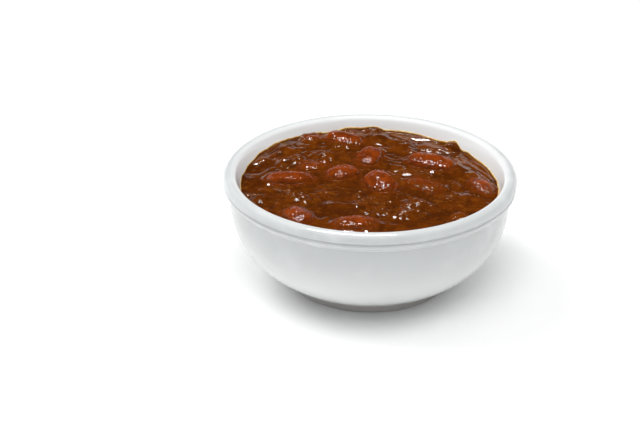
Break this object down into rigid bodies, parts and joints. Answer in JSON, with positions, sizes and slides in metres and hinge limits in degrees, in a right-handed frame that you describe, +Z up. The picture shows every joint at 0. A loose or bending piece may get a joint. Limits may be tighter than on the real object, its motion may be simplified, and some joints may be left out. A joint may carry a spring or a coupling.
{
  "type": "bowl of chili con carne",
  "caption": "White ceramic bowl with a rolled rim, filled with chili con carne: thick brown meat sauce and kidney beans.",
  "frame": {"origin": "centre of the foot ring, on the surface the bowl stands on", "axes": "+Z up along the bowl's axis, -Y towards the viewer, +X to the viewer's right"},
  "size_m": [0.1198, 0.1196, 0.0479],
  "materials": {
    "bowl_glaze": "smooth glossy white glaze, bare matte ring under the foot",
    "chili_sauce": "wet glossy dark brown meat sauce with fine lumps and an oily edge",
    "kidney_bean": "wet reddish-brown bean skin with a thin coat of sauce"
  },
  "bodies": {
    "root": {"bowl": "bowl_glaze", "chili": "chili_sauce", "bean_back_left": "kidney_bean", "bean_back_middle": "kidney_bean", "bean_tucked": "kidney_bean", "bean_left_of_middle": "kidney_bean", "bean_middle": "kidney_bean", "bean_left": "kidney_bean", "bean_right": "kidney_bean", "bean_sunk": "kidney_bean", "bean_right_wall": "kidney_bean", "bean_front_left": "kidney_bean", "bean_front": "kidney_bean", "bean_front_right": "kidney_bean", "bean_back_wall": "kidney_bean"}
  },
  "joints": []
}
